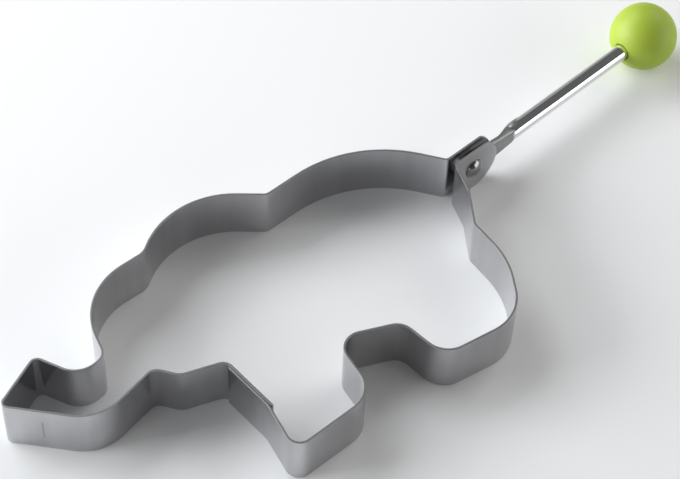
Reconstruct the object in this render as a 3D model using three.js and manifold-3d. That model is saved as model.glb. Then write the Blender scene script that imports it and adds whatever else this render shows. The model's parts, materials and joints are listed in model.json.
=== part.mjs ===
// Pancake mould in the outline of an elephant.
// Two bent steel strips, lapped on the front leg, make the ring. Their other ends are hinge tabs at
// the tail, where a flattened rod handle with a ball knob turns on a rivet.
// Millimetres, +Z up, +X along the handle. The ring and the knob both stand on the table.

import * as THREE from 'three';
import { mergeVertices } from 'three/addons/utils/BufferGeometryUtils.js';
import Module from 'manifold-3d';

const wasm = await Module();
wasm.setup();

// Sheet that the ring is bent from
const STRIP_HEIGHT = 16;
const STRIP_THICKNESS = 0.6;

// Elephant's height across the ring, from the corner of its hind heel to the corner of its ear
const FIGURE_HEIGHT = 91;

// Lap on the front of the front leg, where the back strip lies inside the leg strip
const LAP_LENGTH = 15.9;
const LAP_GAP = 0.1;

// Hinge tabs at the tail, and the rivet through them
const TAB_EDGE_LENGTH = 4.5;
const BACK_TAB_BEND_X = -8;
const RUMP_TAB_BEND_X = -7.5;
const TAB_BEND_RADIUS = 1.5;
const RIVET_DEPTH = 7.5;
const RIVET_SHANK_DIAMETER = 3;
const RIVET_HEAD_DIAMETER = 6;
const RIVET_HEAD_RISE = 1.5;

// Handle: a round rod, pressed flat mostly from behind where it turns between the tabs. The flat narrows
// towards a neck, where it swells into the rod.
const ROD_DIAMETER = 4.7;
const FLAT_WIDTH = 8.5;
const NECK_WIDTH = 6.2;
const FLAT_THICKNESS = 1.6;
const FLAT_SETBACK = 0.65;
const SWELL_LENGTH = 8;
const HANDLE_REACH = 71.5;

// Knob on the handle's end
const KNOB_DIAMETER = 19.5;
const KNOB_BORE_DEPTH = 12;

// Clearances
const TAB_SIDE_CLEARANCE = 0.2;
const RIVET_HOLE_CLEARANCE = 0.3;
const RIVET_SEAT_GAP = 0.1;
const KNOB_BORE_CLEARANCE = 0.3;

// Mesh fineness
const ARC_STEPS = 5;
const ROUND_STEPS = 48;
const SECTION_SIDES = 24;
const SWELL_STEPS = 8;
const MERGE_DISTANCE = 1e-5;

// Places that follow from the sizes
const TAB_LINE_Y = FLAT_THICKNESS / 2 + TAB_SIDE_CLEARANCE + STRIP_THICKNESS / 2;
const TAB_OUTER_Y = TAB_LINE_Y + STRIP_THICKNESS / 2;
const TAB_END_RADIUS = Math.hypot(TAB_EDGE_LENGTH, RIVET_DEPTH);
const RIVET_HEIGHT = STRIP_HEIGHT - RIVET_DEPTH;
const RIVET_HOLE_DIAMETER = RIVET_SHANK_DIAMETER + 2 * RIVET_HOLE_CLEARANCE;
const LAP_SHIFT = (STRIP_THICKNESS + LAP_GAP) / 2;
const FLAT_LENGTH = Math.hypot(BACK_TAB_BEND_X, RIVET_DEPTH);
const ROD_RADIUS = ROD_DIAMETER / 2;
const ROD_LINE_Y = ROD_RADIUS - FLAT_THICKNESS / 2 - FLAT_SETBACK;
const KNOB_RADIUS = KNOB_DIAMETER / 2;
const HANDLE_TILT = Math.asin((KNOB_RADIUS - RIVET_HEIGHT) / HANDLE_REACH);

// Outline of the ring along the middle of the sheet, from the rivet axis, in shares of the elephant's
// height: x, y and bend radius of each corner
const BACK_OUTLINE_SHARES = [
  [-0.253, 0.264, 0.407], // top of the rump
  [-0.582, 0.269, 0.027], // dip behind the ear
  [-0.797, 0.462, 0.264], // ear
  [-0.989, 0.341, 0.055], // dip before the ear
  [-1.225, 0.352, 0.209], // forehead
  [-1.297, 0.132, 0.038], // root of the trunk
  [-1.390, 0.126, 0.077], // upper side of the trunk
  [-1.445, 0.258, 0.022], // trunk tip, upper corner
  [-1.615, 0.192, 0.016], // trunk tip, lower corner
  [-1.440, -0.022, 0.143], // lower side of the trunk
  [-1.225, 0.011, 0.033], // mouth
  [-1.181, -0.055, 0.049], // throat
];
const LEG_OUTLINE_SHARES = [
  [-1.104, -0.445, 0.038], // front toe
  [-0.819, -0.451, 0.088], // front heel
  [-0.780, -0.242, 0.055], // belly, front end
  [-0.599, -0.330, 0.055], // belly, rear end
  [-0.588, -0.489, 0.077], // hind toe
  [-0.330, -0.538, 0.143], // hind heel
  [-0.214, -0.368, 0.286], // hind leg
  [-0.198, -0.214, 0.033], // dip above the hind leg
  [-0.121, -0.110, 0.077], // rump
];

// Front of the front leg, in the same shares: x and y of the lap's top, y and bend radius of the chest
// above it and of the ankle below
const LAP_TOP_SHARES = [-1.060, -0.123];
const CHEST_SHARES = [-0.104, 0.033];
const ANKLE_SHARES = [-0.286, 0.040];

// The same corners in millimetres, between each strip's cut ends
const inMillimetres = (shares) => shares.map((share) => share * FIGURE_HEIGHT);
const [LEG_FRONT_X, LAP_TOP_Y] = inMillimetres(LAP_TOP_SHARES);
const [CHEST_Y, CHEST_BEND_RADIUS] = inMillimetres(CHEST_SHARES);
const [ANKLE_Y, ANKLE_BEND_RADIUS] = inMillimetres(ANKLE_SHARES);
const BACK_STRIP_CORNERS = [
  [TAB_END_RADIUS, TAB_LINE_Y, 0],
  [BACK_TAB_BEND_X, TAB_LINE_Y, TAB_BEND_RADIUS],
  ...BACK_OUTLINE_SHARES.map(inMillimetres),
  [LEG_FRONT_X + LAP_SHIFT, CHEST_Y, CHEST_BEND_RADIUS],
  [LEG_FRONT_X + LAP_SHIFT, LAP_TOP_Y - LAP_LENGTH, 0],
];
const LEG_STRIP_CORNERS = [
  [LEG_FRONT_X - LAP_SHIFT, LAP_TOP_Y, 0],
  [LEG_FRONT_X - LAP_SHIFT, ANKLE_Y, ANKLE_BEND_RADIUS],
  ...LEG_OUTLINE_SHARES.map(inMillimetres),
  [RUMP_TAB_BEND_X, -TAB_LINE_Y, TAB_BEND_RADIUS],
  [TAB_END_RADIUS, -TAB_LINE_Y, 0],
];

// Materials
const steel = new THREE.MeshStandardMaterial({ color: 0xb4b5b8, roughness: 0.3, metalness: 1 });
const chrome = new THREE.MeshStandardMaterial({ color: 0xd2d3d6, roughness: 0.08, metalness: 1 });
const greenPlastic = new THREE.MeshStandardMaterial({ color: 0xa8c244, roughness: 0.42, metalness: 0 });

// Solids for cutting and joining
function solidOf(geometry) {
  const bare = geometry.clone();
  bare.deleteAttribute('normal');
  bare.deleteAttribute('uv');
  const merged = mergeVertices(bare, MERGE_DISTANCE);
  const vertProperties = new Float32Array(merged.attributes.position.array);
  const triVerts = new Uint32Array(merged.index.array);
  return new wasm.Manifold(new wasm.Mesh({ numProp: 3, vertProperties, triVerts }));
}

function geometryOf(solid) {
  const mesh = solid.getMesh();
  const geometry = new THREE.BufferGeometry();
  geometry.setAttribute('position', new THREE.BufferAttribute(mesh.vertProperties, 3));
  geometry.setIndex(new THREE.BufferAttribute(mesh.triVerts, 1));
  geometry.computeVertexNormals();
  return geometry;
}

function namedMesh(name, geometry, material) {
  const mesh = new THREE.Mesh(geometry, material);
  mesh.name = name;
  return mesh;
}

// Arc that rounds off one corner of a strip
function bendAt(before, corner, after) {
  const at = new THREE.Vector2(corner[0], corner[1]);
  const radius = corner[2];
  const inward = new THREE.Vector2(before[0], before[1]).sub(at).normalize();
  const outward = new THREE.Vector2(after[0], after[1]).sub(at).normalize();
  const halfAngle = Math.acos(inward.dot(outward)) / 2;
  const clockwise = inward.cross(outward) > 0;
  const middle = inward.clone().add(outward).setLength(radius / Math.sin(halfAngle)).add(at);
  const tangent = radius / Math.tan(halfAngle);
  const from = inward.clone().multiplyScalar(tangent).add(at).sub(middle);
  const to = outward.clone().multiplyScalar(tangent).add(at).sub(middle);
  return { middle, radius, clockwise, fromAngle: from.angle(), toAngle: to.angle() };
}

// Point beside a strip's cut end, half a thickness to the left of the way from tail to head
function besideEnd(end, tail, head, side) {
  const along = new THREE.Vector2(head[0] - tail[0], head[1] - tail[1]).normalize();
  const left = new THREE.Vector2(-along.y, along.x);
  return left.multiplyScalar((side * STRIP_THICKNESS) / 2).add(new THREE.Vector2(end[0], end[1]));
}

// Strip seen from above: out along its left face and back along its right face
function stripShape(corners) {
  const bends = corners.slice(1, -1).map((corner, i) => bendAt(corners[i], corner, corners[i + 2]));
  const [first, second] = corners;
  const [beforeLast, last] = corners.slice(-2);
  const shape = new THREE.Shape();
  const lineTo = (point) => shape.lineTo(point.x, point.y);
  const faceRadius = (bend, side) => bend.radius + ((bend.clockwise ? side : -side) * STRIP_THICKNESS) / 2;
  const start = besideEnd(first, first, second, -1);
  shape.moveTo(start.x, start.y);
  lineTo(besideEnd(first, first, second, 1));
  for (const bend of bends) {
    const { middle, fromAngle, toAngle, clockwise } = bend;
    shape.absarc(middle.x, middle.y, faceRadius(bend, 1), fromAngle, toAngle, clockwise);
  }
  lineTo(besideEnd(last, beforeLast, last, 1));
  lineTo(besideEnd(last, beforeLast, last, -1));
  for (const bend of bends.reverse()) {
    const { middle, fromAngle, toAngle, clockwise } = bend;
    shape.absarc(middle.x, middle.y, faceRadius(bend, -1), toAngle, fromAngle, !clockwise);
  }
  return shape;
}

// Everything past the rounded end of the tabs, as a block across both of them
function tabEndWaste() {
  const low = RIVET_HEIGHT - STRIP_HEIGHT;
  const high = RIVET_HEIGHT + STRIP_HEIGHT;
  const shape = new THREE.Shape();
  shape.moveTo(0, low);
  shape.lineTo(2 * TAB_END_RADIUS, low);
  shape.lineTo(2 * TAB_END_RADIUS, high);
  shape.lineTo(0, high);
  shape.absarc(0, RIVET_HEIGHT, TAB_END_RADIUS, Math.PI / 2, -Math.PI / 2, true);
  const width = 4 * TAB_OUTER_Y;
  const geometry = new THREE.ExtrudeGeometry(shape, {
    depth: width,
    bevelEnabled: false,
    curveSegments: ROUND_STEPS / 4,
  });
  geometry.rotateX(Math.PI / 2);
  geometry.translate(0, width / 2, 0);
  return solidOf(geometry);
}

// Round bar along the hinge axis, for the rivet holes
function hingeBar(diameter, height) {
  const length = 4 * TAB_OUTER_Y;
  const geometry = new THREE.CylinderGeometry(diameter / 2, diameter / 2, length, ROUND_STEPS / 2);
  geometry.translate(0, 0, height);
  return solidOf(geometry);
}

function bentStrip(name, corners) {
  const blank = new THREE.ExtrudeGeometry(stripShape(corners), {
    depth: STRIP_HEIGHT,
    bevelEnabled: false,
    curveSegments: ARC_STEPS,
  });
  const trimmed = solidOf(blank).subtract(tabEndWaste());
  const strip = trimmed.subtract(hingeBar(RIVET_HOLE_DIAMETER, RIVET_HEIGHT));
  return namedMesh(name, geometryOf(strip), steel);
}

// Rivet with a domed head on each side, turned about the hinge axis
function hingeRivet() {
  const headRadius = RIVET_HEAD_DIAMETER / 2;
  const shankRadius = RIVET_SHANK_DIAMETER / 2;
  const seat = TAB_OUTER_Y + RIVET_SEAT_GAP;
  const domeRadius = (headRadius ** 2 + RIVET_HEAD_RISE ** 2) / (2 * RIVET_HEAD_RISE);
  const domeMiddle = seat + RIVET_HEAD_RISE - domeRadius;
  const rimAngle = Math.atan2(seat - domeMiddle, headRadius);
  const profile = new THREE.Path();
  profile.absarc(0, -domeMiddle, domeRadius, -Math.PI / 2, -rimAngle, false);
  profile.lineTo(shankRadius, -seat);
  profile.lineTo(shankRadius, seat);
  profile.lineTo(headRadius, seat);
  profile.absarc(0, domeMiddle, domeRadius, rimAngle, Math.PI / 2, false);
  const points = profile.getPoints(ARC_STEPS);
  points[0].x = 0;
  points[points.length - 1].x = 0;
  const geometry = new THREE.LatheGeometry(points, ROUND_STEPS / 2);
  geometry.translate(0, 0, RIVET_HEIGHT);
  return namedMesh('hinge_rivet', geometry, steel);
}

// Section of the flattened rod: two straight faces joined by half rounds, its flats at the true size
function flattenedSection(halfWidth, halfThickness) {
  const halfStep = Math.PI / SECTION_SIDES;
  const round = halfThickness / Math.cos(halfStep);
  const points = [];
  for (let i = 0; i < SECTION_SIDES; i += 1) {
    const angle = (2 * i + 1) * halfStep;
    const shift = Math.sign(Math.sin(angle)) * (halfWidth - halfThickness);
    points.push(new THREE.Vector2(round * Math.cos(angle), shift + round * Math.sin(angle)));
  }
  return points;
}

// Skin over sections along X, closed with a flat cap at each end
function loft(stations) {
  const positions = [];
  const indices = [];
  const sections = stations.map((station) => flattenedSection(station.halfWidth, station.halfThickness));
  sections.forEach((section, k) => {
    const { x, y } = stations[k];
    section.forEach((point) => positions.push(x, y + point.x, point.y));
  });
  for (let k = 0; k + 1 < sections.length; k += 1) {
    for (let i = 0; i < SECTION_SIDES; i += 1) {
      const j = (i + 1) % SECTION_SIDES;
      const here = k * SECTION_SIDES;
      const next = here + SECTION_SIDES;
      indices.push(here + i, here + j, next + i, here + j, next + j, next + i);
    }
  }
  const lastRing = (sections.length - 1) * SECTION_SIDES;
  for (let i = 1; i + 1 < SECTION_SIDES; i += 1) {
    indices.push(0, i + 1, i, lastRing, lastRing + i, lastRing + i + 1);
  }
  const geometry = new THREE.BufferGeometry();
  geometry.setAttribute('position', new THREE.Float32BufferAttribute(positions, 3));
  geometry.setIndex(indices);
  return geometry;
}

// Rounded end of the flat, a disc about the hinge axis with the same edge as the flat's sides
function flatEnd() {
  const half = flattenedSection(FLAT_WIDTH / 2, FLAT_THICKNESS / 2).filter((point) => point.y > 0);
  const rim = half.map((point) => new THREE.Vector2(point.y, point.x)).reverse();
  const low = new THREE.Vector2(0, -FLAT_THICKNESS / 2);
  const high = new THREE.Vector2(0, FLAT_THICKNESS / 2);
  return new THREE.LatheGeometry([low, ...rim, high], ROUND_STEPS);
}

// Rod along +X from the hinge axis, into the knob's bore. The flat is pressed in mostly from behind, so
// the rod stands off to that side.
function handleRod() {
  const flat = { y: 0, halfWidth: FLAT_WIDTH / 2, halfThickness: FLAT_THICKNESS / 2 };
  const neck = { ...flat, halfWidth: NECK_WIDTH / 2 };
  const round = { y: ROD_LINE_Y, halfWidth: ROD_RADIUS, halfThickness: ROD_RADIUS };
  const stations = [{ x: 0, ...flat }];
  for (let i = 0; i <= SWELL_STEPS; i += 1) {
    const share = i / SWELL_STEPS;
    const ease = THREE.MathUtils.smoothstep(share, 0, 1);
    stations.push({
      x: FLAT_LENGTH + share * SWELL_LENGTH,
      y: THREE.MathUtils.lerp(neck.y, round.y, ease),
      halfWidth: THREE.MathUtils.lerp(neck.halfWidth, round.halfWidth, ease),
      halfThickness: THREE.MathUtils.lerp(neck.halfThickness, round.halfThickness, ease),
    });
  }
  const boreBottom = HANDLE_REACH - KNOB_RADIUS + KNOB_BORE_DEPTH;
  stations.push({ x: boreBottom - KNOB_BORE_CLEARANCE, ...round });
  const blank = solidOf(loft(stations)).add(solidOf(flatEnd()));
  return namedMesh('handle_rod', geometryOf(blank.subtract(hingeBar(RIVET_HOLE_DIAMETER, 0))), chrome);
}

// Ball with a blind bore facing the hinge
function ballKnob() {
  const ball = new THREE.SphereGeometry(KNOB_RADIUS, ROUND_STEPS, ROUND_STEPS / 2);
  ball.translate(HANDLE_REACH, ROD_LINE_Y, 0);
  const boreRadius = ROD_RADIUS + KNOB_BORE_CLEARANCE;
  const bore = new THREE.CylinderGeometry(boreRadius, boreRadius, 2 * KNOB_BORE_DEPTH, ROUND_STEPS / 2);
  bore.rotateZ(Math.PI / 2);
  bore.translate(HANDLE_REACH - KNOB_RADIUS, ROD_LINE_Y, 0);
  return namedMesh('ball_knob', geometryOf(solidOf(ball).subtract(solidOf(bore))), greenPlastic);
}

// Handle lying out from the tail, with its knob on the table
const handle = new THREE.Group();
handle.position.z = RIVET_HEIGHT;
handle.rotation.y = -HANDLE_TILT;
handle.add(handleRod(), ballKnob());

const mould = new THREE.Group();
mould.add(bentStrip('back_strip', BACK_STRIP_CORNERS));
mould.add(bentStrip('leg_strip', LEG_STRIP_CORNERS));
mould.add(hingeRivet());
mould.add(handle);

// Origin under the middle of the whole object, on the table
mould.updateMatrixWorld(true);
const bounds = new THREE.Box3().setFromObject(mould, true);
const middle = bounds.getCenter(new THREE.Vector3());
mould.position.set(-middle.x, -middle.y, -bounds.min.z);

export default mould;
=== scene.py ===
import json
import math

import bmesh
import bpy
from mathutils import Matrix, Quaternion, Vector


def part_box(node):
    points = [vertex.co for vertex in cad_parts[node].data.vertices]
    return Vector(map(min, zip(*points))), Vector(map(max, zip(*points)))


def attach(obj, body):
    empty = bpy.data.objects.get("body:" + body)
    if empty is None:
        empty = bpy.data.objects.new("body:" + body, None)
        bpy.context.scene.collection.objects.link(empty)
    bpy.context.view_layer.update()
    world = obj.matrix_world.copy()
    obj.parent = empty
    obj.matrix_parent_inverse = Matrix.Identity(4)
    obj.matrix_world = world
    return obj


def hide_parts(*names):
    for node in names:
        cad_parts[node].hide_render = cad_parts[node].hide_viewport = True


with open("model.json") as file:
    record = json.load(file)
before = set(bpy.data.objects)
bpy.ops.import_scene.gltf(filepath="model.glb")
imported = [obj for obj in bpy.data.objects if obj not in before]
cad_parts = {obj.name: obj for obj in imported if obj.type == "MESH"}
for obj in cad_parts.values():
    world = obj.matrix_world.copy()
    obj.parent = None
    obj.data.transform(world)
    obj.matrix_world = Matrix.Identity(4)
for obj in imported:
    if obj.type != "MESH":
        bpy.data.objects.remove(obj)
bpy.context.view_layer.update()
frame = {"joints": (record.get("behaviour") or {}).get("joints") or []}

# Dressed pancake mould: two bent steel strips, a rivet, a pressed rod and a ball knob. Metres, +Z up.
MM = 0.001

# Places read from the frame
HINGE = Vector(frame["joints"][0]["pos_m"])
STRIP_LOW, STRIP_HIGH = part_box("back_strip")
RIVET_LOW, RIVET_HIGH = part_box("hinge_rivet")
KNOB_LOW, KNOB_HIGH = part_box("ball_knob")
STRIP_HEIGHT = STRIP_HIGH.z - STRIP_LOW.z
TAB_RADIUS = STRIP_HIGH.x - HINGE.x
KNOB_RADIUS = (KNOB_HIGH.z - KNOB_LOW.z) / 2
KNOB_CENTRE = KNOB_HIGH - Vector((KNOB_RADIUS, KNOB_RADIUS, KNOB_RADIUS))

# Sheet, hinge and lap, as the solids have them
SHEET_THICKNESS = 0.6 * MM
FLAT_THICKNESS = 1.6 * MM
TAB_SIDE_CLEARANCE = 0.2 * MM
TAB_BEND_RADIUS = 1.5 * MM
BACK_TAB_BEND_X = -8 * MM
RUMP_TAB_BEND_X = -7.5 * MM
LAP_LENGTH = 15.9 * MM
LAP_GAP = 0.1 * MM
RIVET_HOLE_RADIUS = 1.8 * MM
TAB_LINE_Y = FLAT_THICKNESS / 2 + TAB_SIDE_CLEARANCE + SHEET_THICKNESS / 2
LAP_SHIFT = (SHEET_THICKNESS + LAP_GAP) / 2
RIVET_SHANK_RADIUS = 1.5 * MM
RIVET_SEAT_GAP = 0.1 * MM
RIVET_SEAT_Y = TAB_LINE_Y + SHEET_THICKNESS / 2 + RIVET_SEAT_GAP

# Rounded edges of the sheet, and the last station of a round end before it crowds towards the tip
SHEET_EDGE_RADIUS = 0.06 * MM
TAB_TIP_SHARE = 0.96

# Handle, in its own frame: x along the rod from the hinge, y across the flat
ROD_RADIUS = 2.35 * MM
FLAT_WIDTH = 8.5 * MM
KNOB_BORE_RADIUS = 2.45 * MM
KNOB_BORE_DEPTH = 12 * MM
KNOB_MOUTH_LIP = 0.5 * MM
ROD_END_GAP = 0.3 * MM
HANDLE_RUN = Vector((KNOB_CENTRE.x - HINGE.x, 0, KNOB_CENTRE.z - HINGE.z))
HANDLE_REACH = HANDLE_RUN.length
HANDLE_TILT = math.asin(HANDLE_RUN.z / HANDLE_REACH)
ROD_LINE_Y = KNOB_CENTRE.y - HINGE.y
HANDLE_PLACE = Matrix.Translation(HINGE) @ Matrix.Rotation(-HANDLE_TILT, 4, "Y")

# Pressed plate and the nose of the rod, by distance from the hinge
PLATE_TAPER_START = 1.5 * MM
PLATE_TAPER_END = 20.5 * MM
PLATE_SINK_START = 15.5 * MM
PLATE_END = 18.5 * MM
PLATE_TAPER_SHARE = 0.46
PLATE_SINK_SHARE = 0.55
PLATE_SWELL_START = 10.9 * MM
PLATE_SWELL_END = 17.5 * MM
PLATE_SWELL = 3.0
NOSE_START = 9 * MM
NOSE_END = 18.5 * MM
NOSE_TIP = 0.3 * MM
PRESS_LEAN = 1.2
HOLE_BAR_LENGTH = 4 * FLAT_THICKNESS

# Outline of the ring along the middle of the sheet, from the rivet axis, in shares of the elephant's
# height: x, y and bend radius of each corner
FIGURE_HEIGHT = 91 * MM
BACK_OUTLINE_SHARES = [
    (-0.253, 0.264, 0.407),  # top of the rump
    (-0.582, 0.269, 0.027),  # dip behind the ear
    (-0.797, 0.462, 0.264),  # ear
    (-0.989, 0.341, 0.055),  # dip before the ear
    (-1.225, 0.352, 0.209),  # forehead
    (-1.297, 0.132, 0.038),  # root of the trunk
    (-1.390, 0.126, 0.077),  # upper side of the trunk
    (-1.445, 0.258, 0.022),  # trunk tip, upper corner
    (-1.615, 0.192, 0.016),  # trunk tip, lower corner
    (-1.440, -0.022, 0.143),  # lower side of the trunk
    (-1.225, 0.011, 0.033),  # mouth
    (-1.181, -0.055, 0.049),  # throat
]
LEG_OUTLINE_SHARES = [
    (-1.104, -0.445, 0.038),  # front toe
    (-0.819, -0.451, 0.088),  # front heel
    (-0.780, -0.242, 0.055),  # belly, front end
    (-0.599, -0.330, 0.055),  # belly, rear end
    (-0.588, -0.489, 0.077),  # hind toe
    (-0.330, -0.538, 0.143),  # hind heel
    (-0.214, -0.368, 0.286),  # hind leg
    (-0.198, -0.214, 0.033),  # dip above the hind leg
    (-0.121, -0.110, 0.077),  # rump
]
LAP_TOP_SHARES = (-1.060, -0.123)
CHEST_SHARES = (-0.104, 0.033)
ANKLE_SHARES = (-0.286, 0.040)

# Faint pressed line on the outer face of the trunk, painted in as a darker shade, from the rivet axis
TRUNK_LINE_X = -140.4 * MM
TRUNK_LINE_Y = 9.1 * MM
TRUNK_LINE_FOOT = 4 * MM
TRUNK_LINE_TOP = 12 * MM
TRUNK_LINE_REACH = 0.5 * MM
TRUNK_LINE_FADE = 1 * MM

# Satin strip: grey levels, among them painted shade for the trunk line and the rims, noise scales per
# metre, bump rises and roughness
FACE_LEVELS = (0.46, 0.56)
FACE_BLUE = 1.03
# painted shade of the pressed line on the trunk
TRUNK_LINE_SHADE_LEVEL = 0.32
# dull cut edges, darker partly as painted shade that holds down their highlights
RIM_DULL_AND_SHADE_LEVEL = 0.25
GRAIN_SCALE = 4000
GRAIN_STRETCH = 0.02
GRAIN_RISE = 0.002 * MM
BAND_SCALE = 120
BAND_STRETCH = 0.06
BAND_RISE = 0.05 * MM
BAND_WEIGHT = 2
SMUDGE_SCALE = 70
TONE_RANGE = (1.05, 1.95)
FACE_ROUGHNESS = (0.16, 0.26)
GRAIN_ROUGHNESS = 0.04
RIM_ROUGHNESS = 0.3

# Rivet
RIVET_LEVELS = (0.2, 0.28)
RIVET_ROUGHNESS = (0.14, 0.24)
RIVET_MARK_SCALE = 700
RIVET_MARK_RISE = 0.02 * MM

# Rod: dull and marked on the plate, bright past its nose
DULL_LEVELS = (0.23, 0.4)
DULL_ROUGHNESS = (0.3, 0.5)
BRIGHT_LEVELS = (0.78, 0.86)
BRIGHT_BLUE = 1.02
BRIGHT_ROUGHNESS = (0.07, 0.1)
BRIGHT_START = NOSE_END - 0.7 * MM
BRIGHT_END = NOSE_END + 0.8 * MM
PRESS_MARK_SCALE = 600
PRESS_MARK_SPREAD = 1.5 * MM
PRESS_MARK_RISE = 0.03 * MM
DRAWING_SCALE = 3000
DRAWING_STRETCH = 0.03

# Ball
DEEP_LIME = (0.33, 0.445, 0.028, 1)
PALE_LIME = (0.365, 0.48, 0.036, 1)
LIME_ROUGHNESS = (0.48, 0.58)
LIME_SPECULAR = 0.55
PEEL_SCALE = 1500
PEEL_RISE = 0.004 * MM
CLOUD_SCALE = 120

# Mesh fineness
STATION_STEP = 0.3 * MM
BEND_STEPS = 16
EDGE_STEPS = 3
LIP_STEPS = 6
ROUND_SIDES = 96
PLATE_STATIONS = 120
ROD_STATIONS = 320
LEVEL_TOLERANCE = 0.01 * MM
MERGE_DISTANCE = 0.001 * MM
SHARP_ANGLE = math.radians(35)
ROD_SHARP_ANGLE = math.radians(10)

# Photograph's camera, on an image 680 pixels wide
IMAGE_WIDTH = 680
FOCAL_PIXELS = 2096.4
SENSOR_WIDTH = 36
CAMERA_DISTANCE = 572.6 * MM
CAMERA_AZIMUTH = math.radians(225.7)
CAMERA_ELEVATION = math.radians(52.23)
CAMERA_ROLL = math.radians(2.45)
AIM_FROM_HINGE = Vector((-39.87 * MM, 9.14 * MM, 0))

# Soft lamps round the object: azimuth and elevation in degrees, width and height in metres, brightness
# and tint
LAMP_DISTANCE = 1.2
COOL = (0.95, 0.975, 1.0)
WARM = (1.0, 0.995, 0.985)
SOFTBOXES = {
    "left_softbox": (132, 16, 1.0, 0.66, 7.6, COOL),
    "far_left_softbox": (170, 16, 0.8, 0.66, 1.8, COOL),
    "rear_left_softbox": (95, 42, 0.75, 0.62, 3.4, COOL),
    "rear_softbox": (61, 20, 0.5, 0.9, 0.22, WARM),
    "right_softbox": (308, 13, 1.0, 0.55, 2.3, WARM),
    "rear_right_softbox": (0, 34, 0.75, 0.62, 2.1, WARM),
}
WATTS_PER_AREA = 4.0

# Floor and room
FLOOR_COLOUR = (0.9, 0.9, 0.9)
FLOOR_ROUGHNESS = 0.9
FLOOR_RADIUS = 4
ROOM_HORIZON = 0.2
ROOM_OVERHEAD = 0.12
ROOM_DIM_RISE = 0.15


# Node trees

def feed(tree, socket, value):
    """Links the socket to another one, or sets its value."""
    if isinstance(value, bpy.types.NodeSocket):
        tree.links.new(value, socket)
    else:
        socket.default_value = value


def add(tree, kind, inputs=None, **settings):
    """Node of that kind with its settings, and its inputs by name or number."""
    made = tree.nodes.new(kind)
    for name, value in settings.items():
        setattr(made, name, value)
    for key, value in (inputs or {}).items():
        feed(tree, made.inputs[key], value)
    return made


def sums(tree, operation, *values):
    """Result of one math step on numbers or sockets."""
    return add(tree, "ShaderNodeMath", dict(enumerate(values)), operation=operation).outputs[0]


def eased(tree, value, low, high, low_result=0.0, high_result=1.0):
    """Smooth step of a value between two bounds."""
    steps = {"Value": value, "From Min": low, "From Max": high, "To Min": low_result, "To Max": high_result}
    return add(tree, "ShaderNodeMapRange", steps, interpolation_type="SMOOTHSTEP").outputs[0]


def ramped(tree, value, low, high, low_result=0.0, high_result=1.0):
    """Straight step of a value between two bounds."""
    steps = {"Value": value, "From Min": low, "From Max": high, "To Min": low_result, "To Max": high_result}
    return add(tree, "ShaderNodeMapRange", steps).outputs[0]


def shape_tree(name, sizes):
    """Geometry tree with named inputs for its sizes. Returns the tree, its inputs and its output node."""
    tree = bpy.data.node_groups.new(name, "GeometryNodeTree")
    tree.interface.new_socket("Geometry", in_out="INPUT", socket_type="NodeSocketGeometry")
    for label, kind in sizes.items():
        tree.interface.new_socket(label, in_out="INPUT", socket_type="NodeSocket" + kind)
    tree.interface.new_socket("Geometry", in_out="OUTPUT", socket_type="NodeSocketGeometry")
    given = tree.nodes.new("NodeGroupInput").outputs
    return tree, given, tree.nodes.new("NodeGroupOutput")


def finish_shape(tree, end, shape, material, sharp_angle):
    """Smooth faces with sharp edges where the surface breaks, real mesh, material."""
    smooth = add(tree, "GeometryNodeSetShadeSmooth", {"Geometry": shape})
    angle = add(tree, "GeometryNodeInputMeshEdgeAngle").outputs["Unsigned Angle"]
    breaks = sums(tree, "GREATER_THAN", angle, sharp_angle)
    broken = {"Geometry": smooth.outputs[0], "Selection": breaks, "Shade Smooth": False}
    creased = add(tree, "GeometryNodeSetShadeSmooth", broken, domain="EDGE")
    real = add(tree, "GeometryNodeRealizeInstances", {"Geometry": creased.outputs[0]})
    painted = add(tree, "GeometryNodeSetMaterial", {"Geometry": real.outputs[0], "Material": material})
    feed(tree, end.inputs["Geometry"], painted.outputs[0])


def hinge_bar(tree, radius, axis_point):
    """Round bar along the hinge axis, for a rivet hole."""
    bar = {"Vertices": ROUND_SIDES, "Radius": radius, "Depth": HOLE_BAR_LENGTH}
    round_bar = add(tree, "GeometryNodeMeshCylinder", bar).outputs["Mesh"]
    laid = {"Geometry": round_bar, "Translation": axis_point, "Rotation": (math.pi / 2, 0, 0)}
    return add(tree, "GeometryNodeTransform", laid).outputs[0]


def cut(tree, shape, tool):
    """Shape with the tool's space taken out of it."""
    pair = {"Mesh 1": shape, "Mesh 2": tool}
    made = add(tree, "GeometryNodeMeshBoolean", pair, operation="DIFFERENCE", solver="EXACT")
    return made.outputs["Mesh"]


def point_place(tree):
    """X, Y and Z of each point."""
    point = add(tree, "GeometryNodeInputPosition").outputs[0]
    return add(tree, "ShaderNodeSeparateXYZ", {0: point}).outputs


def moved_to(tree, shape, x, y, z):
    """Shape with its points at new places."""
    place = add(tree, "ShaderNodeCombineXYZ", {"X": x, "Y": y, "Z": z}).outputs[0]
    return add(tree, "GeometryNodeSetPosition", {"Geometry": shape, "Position": place}).outputs[0]


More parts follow.
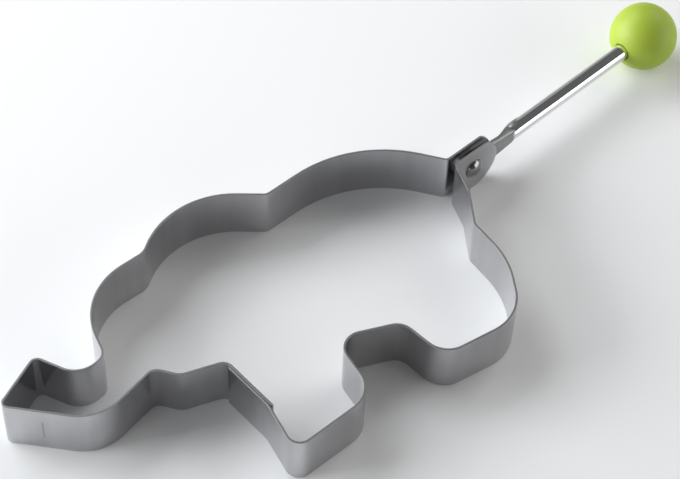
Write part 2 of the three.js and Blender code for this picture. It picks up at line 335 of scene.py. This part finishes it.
def bent_strip_tree():
    """Strip bent along an outline whose points hold their bend radius, with a round pierced tab end."""
    sizes = {
        "Height": "Float",
        "Thickness": "Float",
        "Edge Radius": "Float",
        "Hinge": "Vector",
        "Tab Radius": "Float",
        "Hole Radius": "Float",
        "Material": "Material",
    }
    tree, given, end = shape_tree("bent_strip", sizes)

    # Path with round bends, at even stations
    radius = add(tree, "GeometryNodeInputRadius").outputs[0]
    corners = {"Curve": given["Geometry"], "Count": BEND_STEPS, "Radius": radius}
    rounded = add(tree, "GeometryNodeFilletCurve", corners, mode="POLY").outputs[0]
    stations = {"Curve": rounded, "Length": STATION_STEP}
    path = add(tree, "GeometryNodeResampleCurve", stations, mode="LENGTH").outputs[0]
    length = add(tree, "GeometryNodeSplineParameter").outputs["Length"]
    marked = {"Geometry": path, "Name": "along", "Value": length}
    path = add(tree, "GeometryNodeStoreNamedAttribute", marked).outputs[0]
    path = add(tree, "GeometryNodeSetCurveNormal", {"Curve": path}, mode="Z_UP").outputs[0]

    # Section with rounded edges, swept along the path
    oblong = {"Width": given["Thickness"], "Height": given["Height"]}
    section = add(tree, "GeometryNodeCurvePrimitiveQuadrilateral", oblong).outputs[0]
    edges = {"Curve": section, "Count": EDGE_STEPS, "Radius": given["Edge Radius"]}
    section = add(tree, "GeometryNodeFilletCurve", edges, mode="POLY").outputs[0]
    sweep = {"Curve": path, "Profile Curve": section, "Fill Caps": True}
    sheet = add(tree, "GeometryNodeCurveToMesh", sweep).outputs[0]

    # Sharp lines where the flat faces meet the rounded edges
    half = sums(tree, "MULTIPLY", given["Height"], 0.5)
    flat_half = sums(tree, "SUBTRACT", half, given["Edge Radius"])
    ends = add(tree, "GeometryNodeInputMeshEdgeVertices").outputs
    heights = [add(tree, "ShaderNodeSeparateXYZ", {0: ends[f"Position {k}"]}).outputs["Z"] for k in (1, 2)]
    level = sums(tree, "COMPARE", heights[0], heights[1], LEVEL_TOLERANCE)
    border_reach = sums(tree, "ABSOLUTE", sums(tree, "SUBTRACT", heights[0], half))
    at_border = sums(tree, "COMPARE", border_reach, flat_half, LEVEL_TOLERANCE)
    border = sums(tree, "MULTIPLY", level, at_border)
    creased = {"Geometry": sheet, "Selection": border, "Shade Smooth": False}
    sheet = add(tree, "GeometryNodeSetShadeSmooth", creased, domain="EDGE").outputs[0]

    # Length along the strip and share of the rounded edge, on face corners, where the hole's cut keeps them
    place = point_place(tree)
    reach = sums(tree, "ABSOLUTE", sums(tree, "SUBTRACT", place["Z"], half))
    rim = eased(tree, reach, flat_half, half)
    along = add(tree, "GeometryNodeInputNamedAttribute", {"Name": "along"}).outputs["Attribute"]
    for name, value in {"along": along, "rim": rim}.items():
        marked = {"Geometry": sheet, "Name": name, "Value": value}
        sheet = add(tree, "GeometryNodeStoreNamedAttribute", marked, domain="CORNER").outputs[0]

    # Round end of the tab: stations past the hinge crowd towards the tip and lose height on a circle
    hinge = add(tree, "ShaderNodeSeparateXYZ", {0: given["Hinge"]}).outputs
    past = sums(tree, "MAXIMUM", sums(tree, "SUBTRACT", place["X"], hinge["X"]), 0.0)
    turn = sums(tree, "MULTIPLY", sums(tree, "DIVIDE", past, given["Tab Radius"]), math.pi / 2)
    round_x = sums(tree, "MULTIPLY", sums(tree, "SINE", turn), given["Tab Radius"])
    new_x = sums(tree, "ADD", sums(tree, "SUBTRACT", place["X"], past), round_x)
    round_half = sums(tree, "MULTIPLY", sums(tree, "COSINE", turn), given["Tab Radius"])
    low = sums(tree, "MAXIMUM", sums(tree, "SUBTRACT", hinge["Z"], round_half), 0.0)
    high = sums(tree, "MINIMUM", sums(tree, "ADD", hinge["Z"], round_half), given["Height"])
    share = sums(tree, "DIVIDE", place["Z"], given["Height"])
    new_z = sums(tree, "MULTIPLY_ADD", share, sums(tree, "SUBTRACT", high, low), low)
    sheet = moved_to(tree, sheet, new_x, place["Y"], new_z)

    pierced = cut(tree, sheet, hinge_bar(tree, given["Hole Radius"], given["Hinge"]))
    finish_shape(tree, end, pierced, given["Material"], SHARP_ANGLE)
    return tree


def tube(tree, start_x, end_x, stations):
    """Tube along X, and its points' x and angle round it."""
    start = add(tree, "ShaderNodeCombineXYZ", {"X": start_x}).outputs[0]
    finish = add(tree, "ShaderNodeCombineXYZ", {"X": end_x}).outputs[0]
    line = add(tree, "GeometryNodeCurvePrimitiveLine", {"Start": start, "End": finish}).outputs[0]
    even = {"Curve": line, "Count": stations}
    path = add(tree, "GeometryNodeResampleCurve", even, mode="COUNT").outputs[0]
    circle = {"Resolution": ROUND_SIDES, "Radius": ROD_RADIUS}
    hoop = add(tree, "GeometryNodeCurvePrimitiveCircle", circle).outputs[0]
    sweep = {"Curve": path, "Profile Curve": hoop, "Fill Caps": True}
    shape = add(tree, "GeometryNodeCurveToMesh", sweep).outputs[0]
    place = point_place(tree)
    return shape, place["X"], sums(tree, "ARCTAN2", place["Z"], place["Y"])


def squared(tree, value):
    """Root of a value with its sign kept, which makes a round section squarer."""
    root = sums(tree, "SQRT", sums(tree, "ABSOLUTE", value))
    return sums(tree, "MULTIPLY", sums(tree, "SIGN", value), root)


def pressed_rod_tree():
    """Round rod whose near end is pressed to a flat plate with a round pierced end."""
    sizes = {
        "Radius": "Float",
        "Line": "Float",
        "End": "Float",
        "Flat Width": "Float",
        "Flat Thickness": "Float",
        "Hole Radius": "Float",
        "Material": "Material",
    }
    tree, given, end = shape_tree("pressed_rod", sizes)
    half_width = sums(tree, "MULTIPLY", given["Flat Width"], 0.5)
    half_thickness = sums(tree, "MULTIPLY", given["Flat Thickness"], 0.5)

    # Plate: stations before the hinge crowd on a circle, and past the tabs its back swells
    near_end = sums(tree, "MULTIPLY", half_width, -TAB_TIP_SHARE)
    plate, x, angle = tube(tree, near_end, PLATE_END, PLATE_STATIONS)
    before = sums(tree, "MAXIMUM", sums(tree, "MULTIPLY", x, -1.0), 0.0)
    turn = sums(tree, "MULTIPLY", sums(tree, "DIVIDE", before, half_width), math.pi / 2)
    round_x = sums(tree, "MULTIPLY", sums(tree, "SINE", turn), half_width)
    new_x = sums(tree, "SUBTRACT", sums(tree, "ADD", x, before), round_x)
    round_width = sums(tree, "MULTIPLY", sums(tree, "COSINE", turn), half_width)
    taper = ramped(tree, x, PLATE_TAPER_START, PLATE_TAPER_END, 1.0, PLATE_TAPER_SHARE)
    sink = eased(tree, x, PLATE_SINK_START, PLATE_END, 1.0, PLATE_SINK_SHARE)
    width = sums(tree, "MULTIPLY", round_width, sums(tree, "MULTIPLY", taper, sink))
    rim = sums(tree, "MINIMUM", half_thickness, width)
    side = sums(tree, "SIGN", sums(tree, "SINE", angle))
    shift = sums(tree, "MULTIPLY", side, sums(tree, "SUBTRACT", width, rim))
    thin_y = sums(tree, "MULTIPLY", rim, squared(tree, sums(tree, "COSINE", angle)))
    back = sums(tree, "MAXIMUM", thin_y, 0.0)
    swell = eased(tree, x, PLATE_SWELL_START, PLATE_SWELL_END, 0.0, PLATE_SWELL - 1)
    plate_y = sums(tree, "MULTIPLY_ADD", back, swell, thin_y)
    plate_z = sums(tree, "MULTIPLY_ADD", rim, squared(tree, sums(tree, "SINE", angle)), shift)
    plate = moved_to(tree, plate, new_x, plate_y, plate_z)

    # Rod: its nose swells gently out of the plate
    rod, x, angle = tube(tree, NOSE_START + NOSE_TIP, given["End"], ROD_STATIONS)
    swell = eased(tree, x, NOSE_START, NOSE_END)
    across = sums(tree, "MULTIPLY_ADD", given["Radius"], sums(tree, "COSINE", angle), given["Line"])
    upward = sums(tree, "MULTIPLY", given["Radius"], sums(tree, "SINE", angle))
    rod_y = sums(tree, "MULTIPLY", across, swell)
    rod_z = sums(tree, "MULTIPLY", upward, swell)
    rod = moved_to(tree, rod, x, rod_y, rod_z)

    both = add(tree, "GeometryNodeMeshBoolean", {"Mesh 2": plate}, operation="UNION", solver="EXACT")
    feed(tree, both.inputs["Mesh 2"], rod)
    pierced = cut(tree, both.outputs["Mesh"], hinge_bar(tree, given["Hole Radius"], (0, 0, 0)))

    # Length along the rod for its finish, shorter on its back, where the press marks reach further
    place = point_place(tree)
    length = sums(tree, "MULTIPLY_ADD", place["Y"], -PRESS_LEAN, place["X"])
    marked = {"Geometry": pierced, "Name": "along", "Value": length}
    pierced = add(tree, "GeometryNodeStoreNamedAttribute", marked).outputs[0]
    finish_shape(tree, end, pierced, given["Material"], ROD_SHARP_ANGLE)
    return tree


def grown(source, tree, values, name):
    """Plain mesh object that the tree makes from the source object, which is removed."""
    modifier = source.modifiers.new("shape", "NODES")
    modifier.node_group = tree
    labels = {item.name: item.identifier for item in tree.interface.items_tree if item.in_out == "INPUT"}
    for label, value in values.items():
        modifier[labels[label]] = value
    bpy.context.view_layer.update()
    evaluated = source.evaluated_get(bpy.context.evaluated_depsgraph_get())
    mesh = bpy.data.meshes.new_from_object(evaluated, depsgraph=bpy.context.evaluated_depsgraph_get())
    mesh.name = name
    bpy.data.objects.remove(source)
    return linked(name, mesh)


def linked(name, data):
    """New object in the scene."""
    made = bpy.data.objects.new(name, data)
    bpy.context.scene.collection.objects.link(made)
    return made


# Ring

def in_metres(shares):
    """Corner of the outline from its shares."""
    return tuple(share * FIGURE_HEIGHT for share in shares)


def outline_curve(name, corners):
    """Curve through the corners, from the hinge axis at half the strip's height, each with its bend."""
    data = bpy.data.curves.new(name, "CURVE")
    data.dimensions = "3D"
    spline = data.splines.new("POLY")
    spline.points.add(len(corners) - 1)
    for point, (x, y, bend) in zip(spline.points, corners):
        point.co = (HINGE.x + x, HINGE.y + y, STRIP_HEIGHT / 2, 1)
        point.radius = bend
    return linked(name, data)


def strip_corners():
    """Corners of the back strip and of the leg strip, between their cut ends."""
    leg_front_x, lap_top_y = in_metres(LAP_TOP_SHARES)
    chest_y, chest_bend = in_metres(CHEST_SHARES)
    ankle_y, ankle_bend = in_metres(ANKLE_SHARES)
    tab_tip_x = TAB_TIP_SHARE * TAB_RADIUS
    back = [
        (tab_tip_x, TAB_LINE_Y, 0),
        (BACK_TAB_BEND_X, TAB_LINE_Y, TAB_BEND_RADIUS),
        *map(in_metres, BACK_OUTLINE_SHARES),
        (leg_front_x + LAP_SHIFT, chest_y, chest_bend),
        (leg_front_x + LAP_SHIFT, lap_top_y - LAP_LENGTH, 0),
    ]
    leg = [
        (leg_front_x - LAP_SHIFT, lap_top_y, 0),
        (leg_front_x - LAP_SHIFT, ankle_y, ankle_bend),
        *map(in_metres, LEG_OUTLINE_SHARES),
        (RUMP_TAB_BEND_X, -TAB_LINE_Y, TAB_BEND_RADIUS),
        (tab_tip_x, -TAB_LINE_Y, 0),
    ]
    return back, leg


def bent_strips(material):
    """The two strips of the ring."""
    tree = bent_strip_tree()
    values = {
        "Height": STRIP_HEIGHT,
        "Thickness": SHEET_THICKNESS,
        "Edge Radius": SHEET_EDGE_RADIUS,
        "Hinge": HINGE,
        "Tab Radius": TAB_RADIUS,
        "Hole Radius": RIVET_HOLE_RADIUS,
        "Material": material,
    }
    back, leg = strip_corners()
    return [
        grown(outline_curve("back_outline", back), tree, values, "bent_back_strip"),
        grown(outline_curve("leg_outline", leg), tree, values, "bent_leg_strip"),
    ]


# Handle and hinge

def pressed_rod(material):
    """Rod of the handle, with its flat between the tabs."""
    values = {
        "Radius": ROD_RADIUS,
        "Line": ROD_LINE_Y,
        "End": HANDLE_REACH - KNOB_RADIUS + KNOB_BORE_DEPTH - ROD_END_GAP,
        "Flat Width": FLAT_WIDTH,
        "Flat Thickness": FLAT_THICKNESS,
        "Hole Radius": RIVET_HOLE_RADIUS,
        "Material": material,
    }
    seed = linked("rod_seed", bpy.data.meshes.new("rod_seed"))
    rod = grown(seed, pressed_rod_tree(), values, "pressed_rod")
    rod.data.transform(HANDLE_PLACE)
    return rod


def turned(name, profile, place, material):
    """Closed shape turned round X from a profile of x and radius that starts and ends on the axis."""
    shape = bmesh.new()
    points = [shape.verts.new((x, 0, radius)) for x, radius in profile]
    for first, second in zip(points, points[1:]):
        shape.edges.new((first, second))
    whole = shape.verts[:] + shape.edges[:]
    bmesh.ops.spin(shape, geom=whole, axis=(1, 0, 0), angle=2 * math.pi, steps=ROUND_SIDES, use_merge=True)
    bmesh.ops.remove_doubles(shape, verts=shape.verts[:], dist=MERGE_DISTANCE)
    bmesh.ops.recalc_face_normals(shape, faces=shape.faces[:])
    for face in shape.faces:
        face.smooth = True
    mesh = bpy.data.meshes.new(name)
    shape.to_mesh(mesh)
    shape.free()
    mesh.transform(place)
    mesh.set_sharp_from_angle(angle=SHARP_ANGLE)
    mesh.materials.append(material)
    return linked(name, mesh)


def arc(middle, radius, start, finish, steps):
    """Points of an arc in the profile plane, its angles measured from +X."""
    turns = [start + (finish - start) * k / steps for k in range(steps + 1)]
    return [(middle + radius * math.cos(t), radius * math.sin(t)) for t in turns]


def moulded_knob(material):
    """Ball with a blind bore whose mouth has a rounded lip."""
    lip_radius = KNOB_BORE_RADIUS + KNOB_MOUTH_LIP
    mouth_angle = math.pi - math.asin(lip_radius / KNOB_RADIUS)
    profile = arc(0, KNOB_RADIUS, 0, mouth_angle, ROUND_SIDES // 2)
    mouth_x = KNOB_RADIUS * math.cos(mouth_angle)
    for k in range(1, LIP_STEPS + 1):
        turn = math.pi / 2 * k / LIP_STEPS
        lip_x = mouth_x + KNOB_MOUTH_LIP * (1 - math.cos(turn))
        profile.append((lip_x, lip_radius - KNOB_MOUTH_LIP * math.sin(turn)))
    bottom_x = KNOB_BORE_DEPTH - KNOB_RADIUS
    profile += [(bottom_x, KNOB_BORE_RADIUS), (bottom_x, 0)]
    profile[0] = (KNOB_RADIUS, 0)
    place = HANDLE_PLACE @ Matrix.Translation((HANDLE_REACH, ROD_LINE_Y, 0))
    return turned("moulded_knob", profile, place, material)


def domed_rivet(material):
    """Rivet across the hinge with a low dome on each side."""
    head_radius = (RIVET_HIGH.x - RIVET_LOW.x) / 2
    half_length = (RIVET_HIGH.y - RIVET_LOW.y) / 2
    rise = half_length - RIVET_SEAT_Y
    dome_radius = (head_radius ** 2 + rise ** 2) / (2 * rise)
    dome_middle = half_length - dome_radius
    rim_angle = math.asin(head_radius / dome_radius)
    dome = arc(dome_middle, dome_radius, 0, rim_angle, ROUND_SIDES // 8)
    half = dome + [(RIVET_SEAT_Y, RIVET_SHANK_RADIUS)]
    profile = half + [(-x, radius) for x, radius in reversed(half)]
    profile[0] = (half_length, 0)
    profile[-1] = (-half_length, 0)
    place = Matrix.Translation(HINGE) @ Matrix.Rotation(math.pi / 2, 4, "Z")
    return turned("domed_rivet", profile, place, material)


# Materials

def finish_tree(name):
    """New material, its tree and its main shader."""
    material = bpy.data.materials.new(name)
    material.use_nodes = True
    tree = material.node_tree
    return material, tree, tree.nodes["Principled BSDF"]


def noise(tree, scale, vector, detail=2.0, roughness=0.5):
    """Soft noise between 0 and 1."""
    look = {"Vector": vector, "Scale": scale, "Detail": detail, "Roughness": roughness}
    return add(tree, "ShaderNodeTexNoise", look).outputs["Fac"]


def between(tree, share, low, high):
    """Number that follows a share from low to high."""
    return ramped(tree, share, 0.0, 1.0, low, high)


def blended(tree, share, first, second):
    """Colour between two colours."""
    made = add(tree, "ShaderNodeMix", data_type="RGBA")
    feed(tree, made.inputs["Factor"], share)
    feed(tree, made.inputs["A"], first)
    feed(tree, made.inputs["B"], second)
    return made.outputs["Result"]


def bumped(tree, height, distance, under=None):
    """Surface direction after a height pattern whose full rise is the distance."""
    look = {"Height": height, "Distance": distance, "Strength": 1.0}
    if under is not None:
        look["Normal"] = under
    return add(tree, "ShaderNodeBump", look).outputs[0]


def attribute(tree, name):
    """Number stored on the piece's points."""
    return add(tree, "ShaderNodeAttribute", attribute_name=name).outputs["Fac"]


def grey(level, blue=1.0):
    """Grey with a share of blue."""
    return (level, level, level * blue, 1)


def mottled(tree, share, levels, blue=1.0):
    """Grey that follows a share between two levels."""
    return blended(tree, share, grey(levels[0], blue), grey(levels[1], blue))


def painted_trunk_line_shade(tree, place):
    """Share of the painted shade of the faint pressed line on the trunk at a point of the sheet."""
    parts = add(tree, "ShaderNodeSeparateXYZ", {0: place}).outputs
    across_x = sums(tree, "SUBTRACT", parts["X"], HINGE.x + TRUNK_LINE_X)
    across_y = sums(tree, "SUBTRACT", parts["Y"], HINGE.y + TRUNK_LINE_Y)
    square = sums(tree, "MULTIPLY_ADD", across_x, across_x, sums(tree, "MULTIPLY", across_y, across_y))
    near = eased(tree, sums(tree, "SQRT", square), 0.0, TRUNK_LINE_REACH, 1.0, 0.0)
    above = eased(tree, parts["Z"], TRUNK_LINE_FOOT, TRUNK_LINE_FOOT + TRUNK_LINE_FADE)
    below = eased(tree, parts["Z"], TRUNK_LINE_TOP - TRUNK_LINE_FADE, TRUNK_LINE_TOP, 1.0, 0.0)
    return sums(tree, "MULTIPLY", near, sums(tree, "MULTIPLY", above, below))


def strip_steel():
    """Satin stainless strip: grain along it, upright bands from bending, dull cut edges whose darker grey
    is partly painted shade.
    """
    material, tree, shader = finish_tree("strip_steel")
    place = add(tree, "ShaderNodeTexCoord").outputs["Object"]
    height = add(tree, "ShaderNodeSeparateXYZ", {0: place}).outputs["Z"]
    along = attribute(tree, "along")
    rim = attribute(tree, "rim")
    grain_along = sums(tree, "MULTIPLY", along, GRAIN_STRETCH)
    grain_place = add(tree, "ShaderNodeCombineXYZ", {"X": grain_along, "Y": height}).outputs[0]
    band_height = sums(tree, "MULTIPLY", height, BAND_STRETCH)
    band_place = add(tree, "ShaderNodeCombineXYZ", {"X": along, "Y": band_height}).outputs[0]
    grain = noise(tree, GRAIN_SCALE, grain_place, detail=3.0)
    bands = noise(tree, BAND_SCALE, band_place, detail=4.0, roughness=0.6)
    smudges = noise(tree, SMUDGE_SCALE, place, detail=4.0, roughness=0.6)
    tone = ramped(tree, sums(tree, "MULTIPLY_ADD", bands, BAND_WEIGHT, smudges), *TONE_RANGE)
    face = mottled(tree, tone, FACE_LEVELS, FACE_BLUE)
    # painted shade: the pressed line on the trunk is drawn as a darker grey
    face = blended(tree, painted_trunk_line_shade(tree, place), face, grey(TRUNK_LINE_SHADE_LEVEL))
    # rounded edges: dull cut steel, their darker grey partly painted shade
    feed(tree, shader.inputs["Base Color"], blended(tree, rim, face, grey(RIM_DULL_AND_SHADE_LEVEL)))
    smudged = between(tree, smudges, *FACE_ROUGHNESS)
    grained = between(tree, grain, -GRAIN_ROUGHNESS, GRAIN_ROUGHNESS)
    face_roughness = sums(tree, "ADD", smudged, grained)
    feed(tree, shader.inputs["Roughness"], sums(tree, "MULTIPLY_ADD", rim, RIM_ROUGHNESS, face_roughness))
    shader.inputs["Metallic"].default_value = 1
    wavy = bumped(tree, bands, BAND_RISE)
    feed(tree, shader.inputs["Normal"], bumped(tree, grain, GRAIN_RISE, wavy))
    return material


def rivet_steel():
    """Plain pressed rivet steel with faint set marks."""
    material, tree, shader = finish_tree("rivet_steel")
    place = add(tree, "ShaderNodeTexCoord").outputs["Object"]
    marks = noise(tree, RIVET_MARK_SCALE, place, detail=4.0)
    feed(tree, shader.inputs["Base Color"], mottled(tree, marks, RIVET_LEVELS))
    feed(tree, shader.inputs["Roughness"], between(tree, marks, *RIVET_ROUGHNESS))
    shader.inputs["Metallic"].default_value = 1
    feed(tree, shader.inputs["Normal"], bumped(tree, marks, RIVET_MARK_RISE))
    return material


def rod_chrome():
    """Mirror bright rod with faint drawing lines, dull and marked by the press on its flat."""
    material, tree, shader = finish_tree("rod_chrome")
    place = add(tree, "ShaderNodeTexCoord").outputs["Object"]
    along = attribute(tree, "along")
    stretch = {"Vector": place, "Scale": (DRAWING_STRETCH, 1, 1)}
    stretched = add(tree, "ShaderNodeMapping", stretch).outputs[0]
    lines = noise(tree, DRAWING_SCALE, stretched, detail=3.0)
    marks = noise(tree, PRESS_MARK_SCALE, place, detail=4.0, roughness=0.6)
    edge = sums(tree, "MULTIPLY_ADD", marks, PRESS_MARK_SPREAD, along)
    bright = eased(tree, edge, BRIGHT_START, BRIGHT_END)
    dull_face = mottled(tree, marks, DULL_LEVELS)
    bright_face = mottled(tree, lines, BRIGHT_LEVELS, BRIGHT_BLUE)
    feed(tree, shader.inputs["Base Color"], blended(tree, bright, dull_face, bright_face))
    bright_roughness = between(tree, lines, *BRIGHT_ROUGHNESS)
    dull_roughness = between(tree, marks, *DULL_ROUGHNESS)
    span = sums(tree, "SUBTRACT", bright_roughness, dull_roughness)
    feed(tree, shader.inputs["Roughness"], sums(tree, "MULTIPLY_ADD", bright, span, dull_roughness))
    shader.inputs["Metallic"].default_value = 1
    dents = sums(tree, "MULTIPLY", marks, sums(tree, "SUBTRACT", 1.0, bright))
    feed(tree, shader.inputs["Normal"], bumped(tree, dents, PRESS_MARK_RISE))
    return material


def green_plastic():
    """Satin lime moulding with a faint orange peel and handling marks."""
    material, tree, shader = finish_tree("green_plastic")
    place = add(tree, "ShaderNodeTexCoord").outputs["Object"]
    peel = noise(tree, PEEL_SCALE, place, detail=2.0)
    cloud = noise(tree, CLOUD_SCALE, place, detail=3.0)
    feed(tree, shader.inputs["Base Color"], blended(tree, cloud, DEEP_LIME, PALE_LIME))
    feed(tree, shader.inputs["Roughness"], between(tree, cloud, *LIME_ROUGHNESS))
    shader.inputs["Specular IOR Level"].default_value = LIME_SPECULAR
    feed(tree, shader.inputs["Normal"], bumped(tree, peel, PEEL_RISE))
    return material


# Camera, light and floor

def way_to(azimuth, elevation):
    """Unit step from the object towards an azimuth and an elevation."""
    flat = math.cos(elevation)
    return Vector((flat * math.cos(azimuth), flat * math.sin(azimuth), math.sin(elevation)))


def add_camera():
    """Camera at the photograph's angle."""
    back = way_to(CAMERA_AZIMUTH, CAMERA_ELEVATION)
    data = bpy.data.cameras.new("photo_camera")
    data.sensor_width = SENSOR_WIDTH
    data.lens = SENSOR_WIDTH * FOCAL_PIXELS / IMAGE_WIDTH
    camera = linked("photo_camera", data)
    aim = Vector((HINGE.x, HINGE.y, 0)) + AIM_FROM_HINGE
    camera.location = aim + back * CAMERA_DISTANCE
    camera.rotation_mode = "QUATERNION"
    camera.rotation_quaternion = (-back).to_track_quat("-Z", "Y") @ Quaternion((0, 0, 1), CAMERA_ROLL)
    bpy.context.scene.camera = camera


def add_softbox(name, azimuth, elevation, width, height, brightness, tint):
    """Oblong soft lamp that faces the middle of the object."""
    data = bpy.data.lights.new(name, "AREA")
    data.shape = "RECTANGLE"
    data.size = width
    data.size_y = height
    data.energy = brightness * WATTS_PER_AREA * width * height
    data.color = tint
    lamp = linked(name, data)
    way = way_to(math.radians(azimuth), math.radians(elevation))
    lamp.location = way * LAMP_DISTANCE
    lamp.rotation_mode = "QUATERNION"
    lamp.rotation_quaternion = (-way).to_track_quat("-Z", "Y")


def add_floor():
    """Plain pale floor."""
    material, _, shader = finish_tree("pale_floor")
    shader.inputs["Base Color"].default_value = (*FLOOR_COLOUR, 1)
    shader.inputs["Roughness"].default_value = FLOOR_ROUGHNESS
    shader.inputs["Specular IOR Level"].default_value = 0
    shape = bmesh.new()
    bmesh.ops.create_circle(shape, cap_ends=True, segments=ROUND_SIDES, radius=FLOOR_RADIUS)
    mesh = bpy.data.meshes.new("floor")
    shape.to_mesh(mesh)
    shape.free()
    mesh.materials.append(material)
    linked("floor", mesh)


def add_world():
    """Room: pale at the horizon and dim overhead."""
    world = bpy.data.worlds.new("room")
    world.use_nodes = True
    tree = world.node_tree
    way = add(tree, "ShaderNodeTexCoord").outputs["Generated"]
    rise = add(tree, "ShaderNodeSeparateXYZ", {0: way}).outputs["Z"]
    level = eased(tree, rise, 0.0, ROOM_DIM_RISE, ROOM_HORIZON, ROOM_OVERHEAD)
    feed(tree, tree.nodes["Background"].inputs["Color"], level)
    bpy.context.scene.world = world


def dress(piece, body, node):
    """Lets a piece stand for a node and ride on its body."""
    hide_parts(node)
    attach(piece, body)


# Whole object, then what it stands on and what lights it

back_strip, leg_strip = bent_strips(strip_steel())
dress(back_strip, "ring", "back_strip")
dress(leg_strip, "ring", "leg_strip")
dress(domed_rivet(rivet_steel()), "ring", "hinge_rivet")
dress(pressed_rod(rod_chrome()), "handle", "handle_rod")
dress(moulded_knob(green_plastic()), "handle", "ball_knob")

add_camera()
add_floor()
add_world()
for name, softbox in SOFTBOXES.items():
    add_softbox(name, *softbox)
bpy.context.scene.view_settings.view_transform = "Standard"
